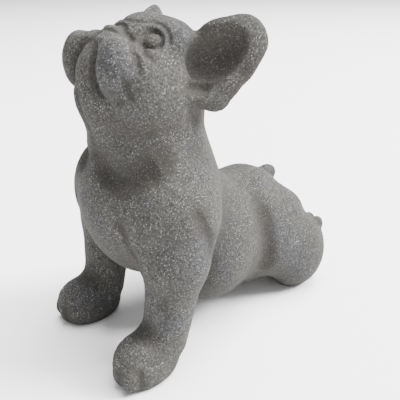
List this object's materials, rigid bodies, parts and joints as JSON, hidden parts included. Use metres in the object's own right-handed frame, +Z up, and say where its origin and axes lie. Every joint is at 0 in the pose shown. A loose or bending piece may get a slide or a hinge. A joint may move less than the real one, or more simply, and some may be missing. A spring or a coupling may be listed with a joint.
{
  "type": "garden statue",
  "caption": "Cast stone French bulldog puppy resting on straight forelegs and haunches, head tilted back to look up, large upright ears.",
  "frame": {"origin": "on the ground plane, under the centre of the bounding box", "axes": "+Z up, the puppy faces -Y, and its left side is +X"},
  "size_m": [0.2161, 0.357, 0.3762],
  "materials": {
    "cast_stone": "matte speckled grey, grainy and finely pitted"
  },
  "bodies": {
    "root": {"bulldog_statue": "cast_stone"}
  },
  "joints": []
}
